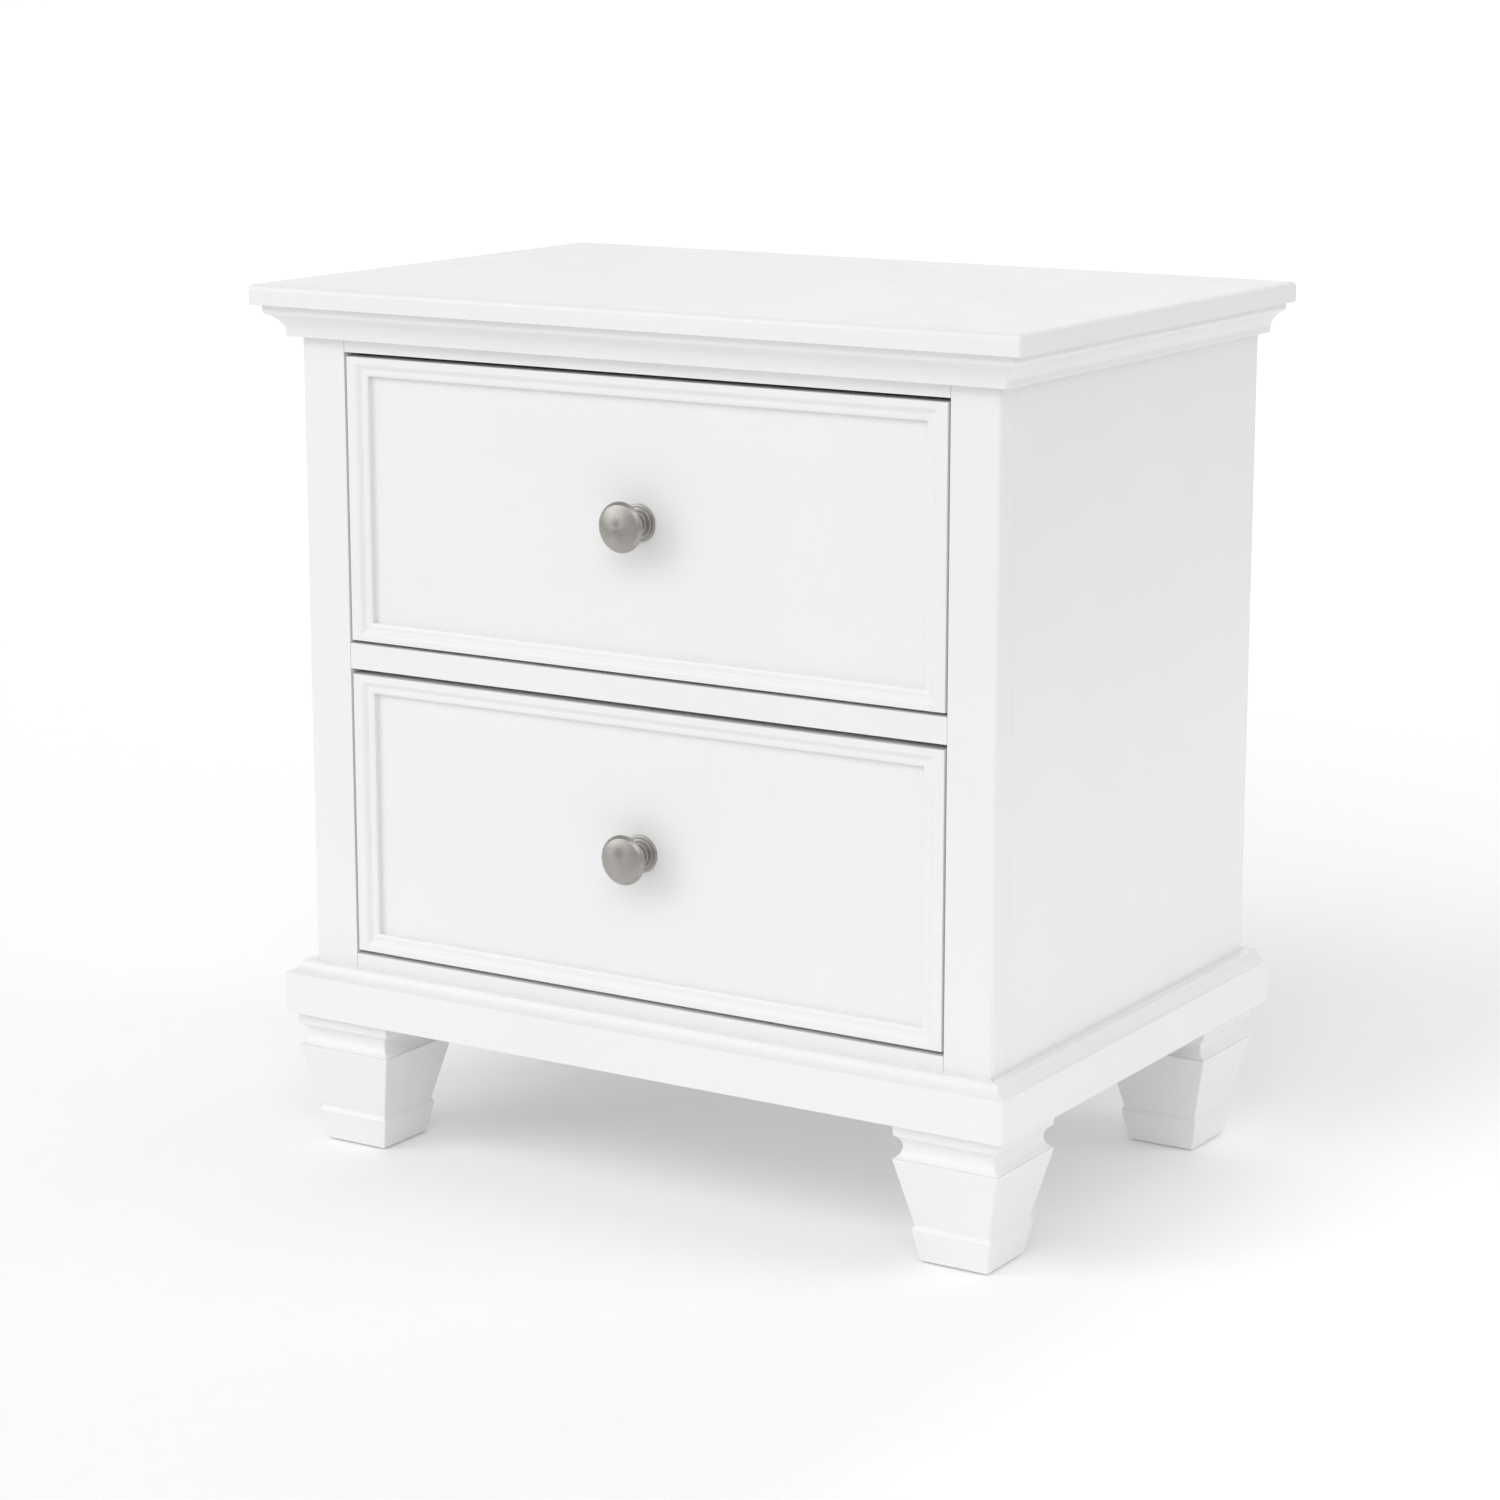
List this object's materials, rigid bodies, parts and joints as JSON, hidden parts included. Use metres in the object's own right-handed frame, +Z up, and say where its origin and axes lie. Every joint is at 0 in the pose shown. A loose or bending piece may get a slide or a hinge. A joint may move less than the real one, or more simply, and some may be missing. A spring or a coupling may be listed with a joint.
{
  "type": "nightstand with drawers",
  "caption": "White painted nightstand with moulded inset drawers, cove crown under a rounded top, wrapped base moulding and square tapered feet.",
  "frame": {"origin": "on the floor, at the middle of the whole width and depth", "axes": "+Z up, +X to the right as one faces the drawers, -Y out of the front, the way the drawers open"},
  "size_m": [0.65, 0.442, 0.6665],
  "materials": {
    "white_paint": "satin white lacquer on wood and MDF",
    "drawer_box": "clear-sealed birch plywood",
    "raw_board": "bare pine and board",
    "hardboard": "smooth brown hardboard",
    "zinc_steel": "bright zinc plate",
    "satin_nickel": "brushed satin nickel",
    "nylon": "moulded nylon"
  },
  "bodies": {
    "case": {"top_panel": "white_paint", "crown_front": "white_paint", "crown_left": "white_paint", "crown_right": "white_paint", "stile_left": "white_paint", "stile_right": "white_paint", "top_rail": "white_paint", "middle_rail": "white_paint", "bottom_rail": "white_paint", "side_panel_left": "white_paint", "side_panel_right": "white_paint", "back_panel": "hardboard", "bottom_board": "white_paint", "top_stretchers": "raw_board", "slide_spacers": "raw_board", "base_front": "white_paint", "base_left": "white_paint", "base_right": "white_paint", "base_back": "white_paint", "foot_front_left": "white_paint", "foot_front_right": "white_paint", "foot_rear_left": "white_paint", "foot_rear_right": "white_paint", "foot_blocks": "white_paint", "foot_bolts": "zinc_steel", "foot_glides": "nylon", "top_screws": "zinc_steel", "back_screws": "zinc_steel", "upper_slide_channels": "zinc_steel", "lower_slide_channels": "zinc_steel"},
    "upper_drawer": {"upper_slide_runners": "zinc_steel", "upper_front_panel": "white_paint", "upper_moulding_top": "white_paint", "upper_moulding_bottom": "white_paint", "upper_moulding_left": "white_paint", "upper_moulding_right": "white_paint", "upper_box_front": "drawer_box", "upper_side_left": "drawer_box", "upper_side_right": "drawer_box", "upper_box_back": "drawer_box", "upper_box_bottom": "hardboard", "upper_knob": "satin_nickel", "upper_knob_screw": "zinc_steel", "upper_front_screws": "zinc_steel"},
    "lower_drawer": {"lower_slide_runners": "zinc_steel", "lower_front_panel": "white_paint", "lower_moulding_top": "white_paint", "lower_moulding_bottom": "white_paint", "lower_moulding_left": "white_paint", "lower_moulding_right": "white_paint", "lower_box_front": "drawer_box", "lower_side_left": "drawer_box", "lower_side_right": "drawer_box", "lower_box_back": "drawer_box", "lower_box_bottom": "hardboard", "lower_knob": "satin_nickel", "lower_knob_screw": "zinc_steel", "lower_front_screws": "zinc_steel"},
    "upper_slide": {"upper_slide_middles": "zinc_steel"},
    "lower_slide": {"lower_slide_middles": "zinc_steel"}
  },
  "joints": [
    {"name": "upper_drawer_slide", "type": "slide", "parent": "case", "child": "upper_drawer", "axis": [0, -1, 0], "range_m": [0, 0.34]},
    {"name": "upper_middle_slide", "type": "slide", "parent": "case", "child": "upper_slide", "axis": [0, -1, 0], "range_m": [0, 0.17]},
    {"name": "lower_drawer_slide", "type": "slide", "parent": "case", "child": "lower_drawer", "axis": [0, -1, 0], "range_m": [0, 0.34]},
    {"name": "lower_middle_slide", "type": "slide", "parent": "case", "child": "lower_slide", "axis": [0, -1, 0], "range_m": [0, 0.17]}
  ],
  "couplings": [
    {"joint": "upper_middle_slide", "follows": "upper_drawer_slide", "ratio": 0.5},
    {"joint": "lower_middle_slide", "follows": "lower_drawer_slide", "ratio": 0.5}
  ]
}
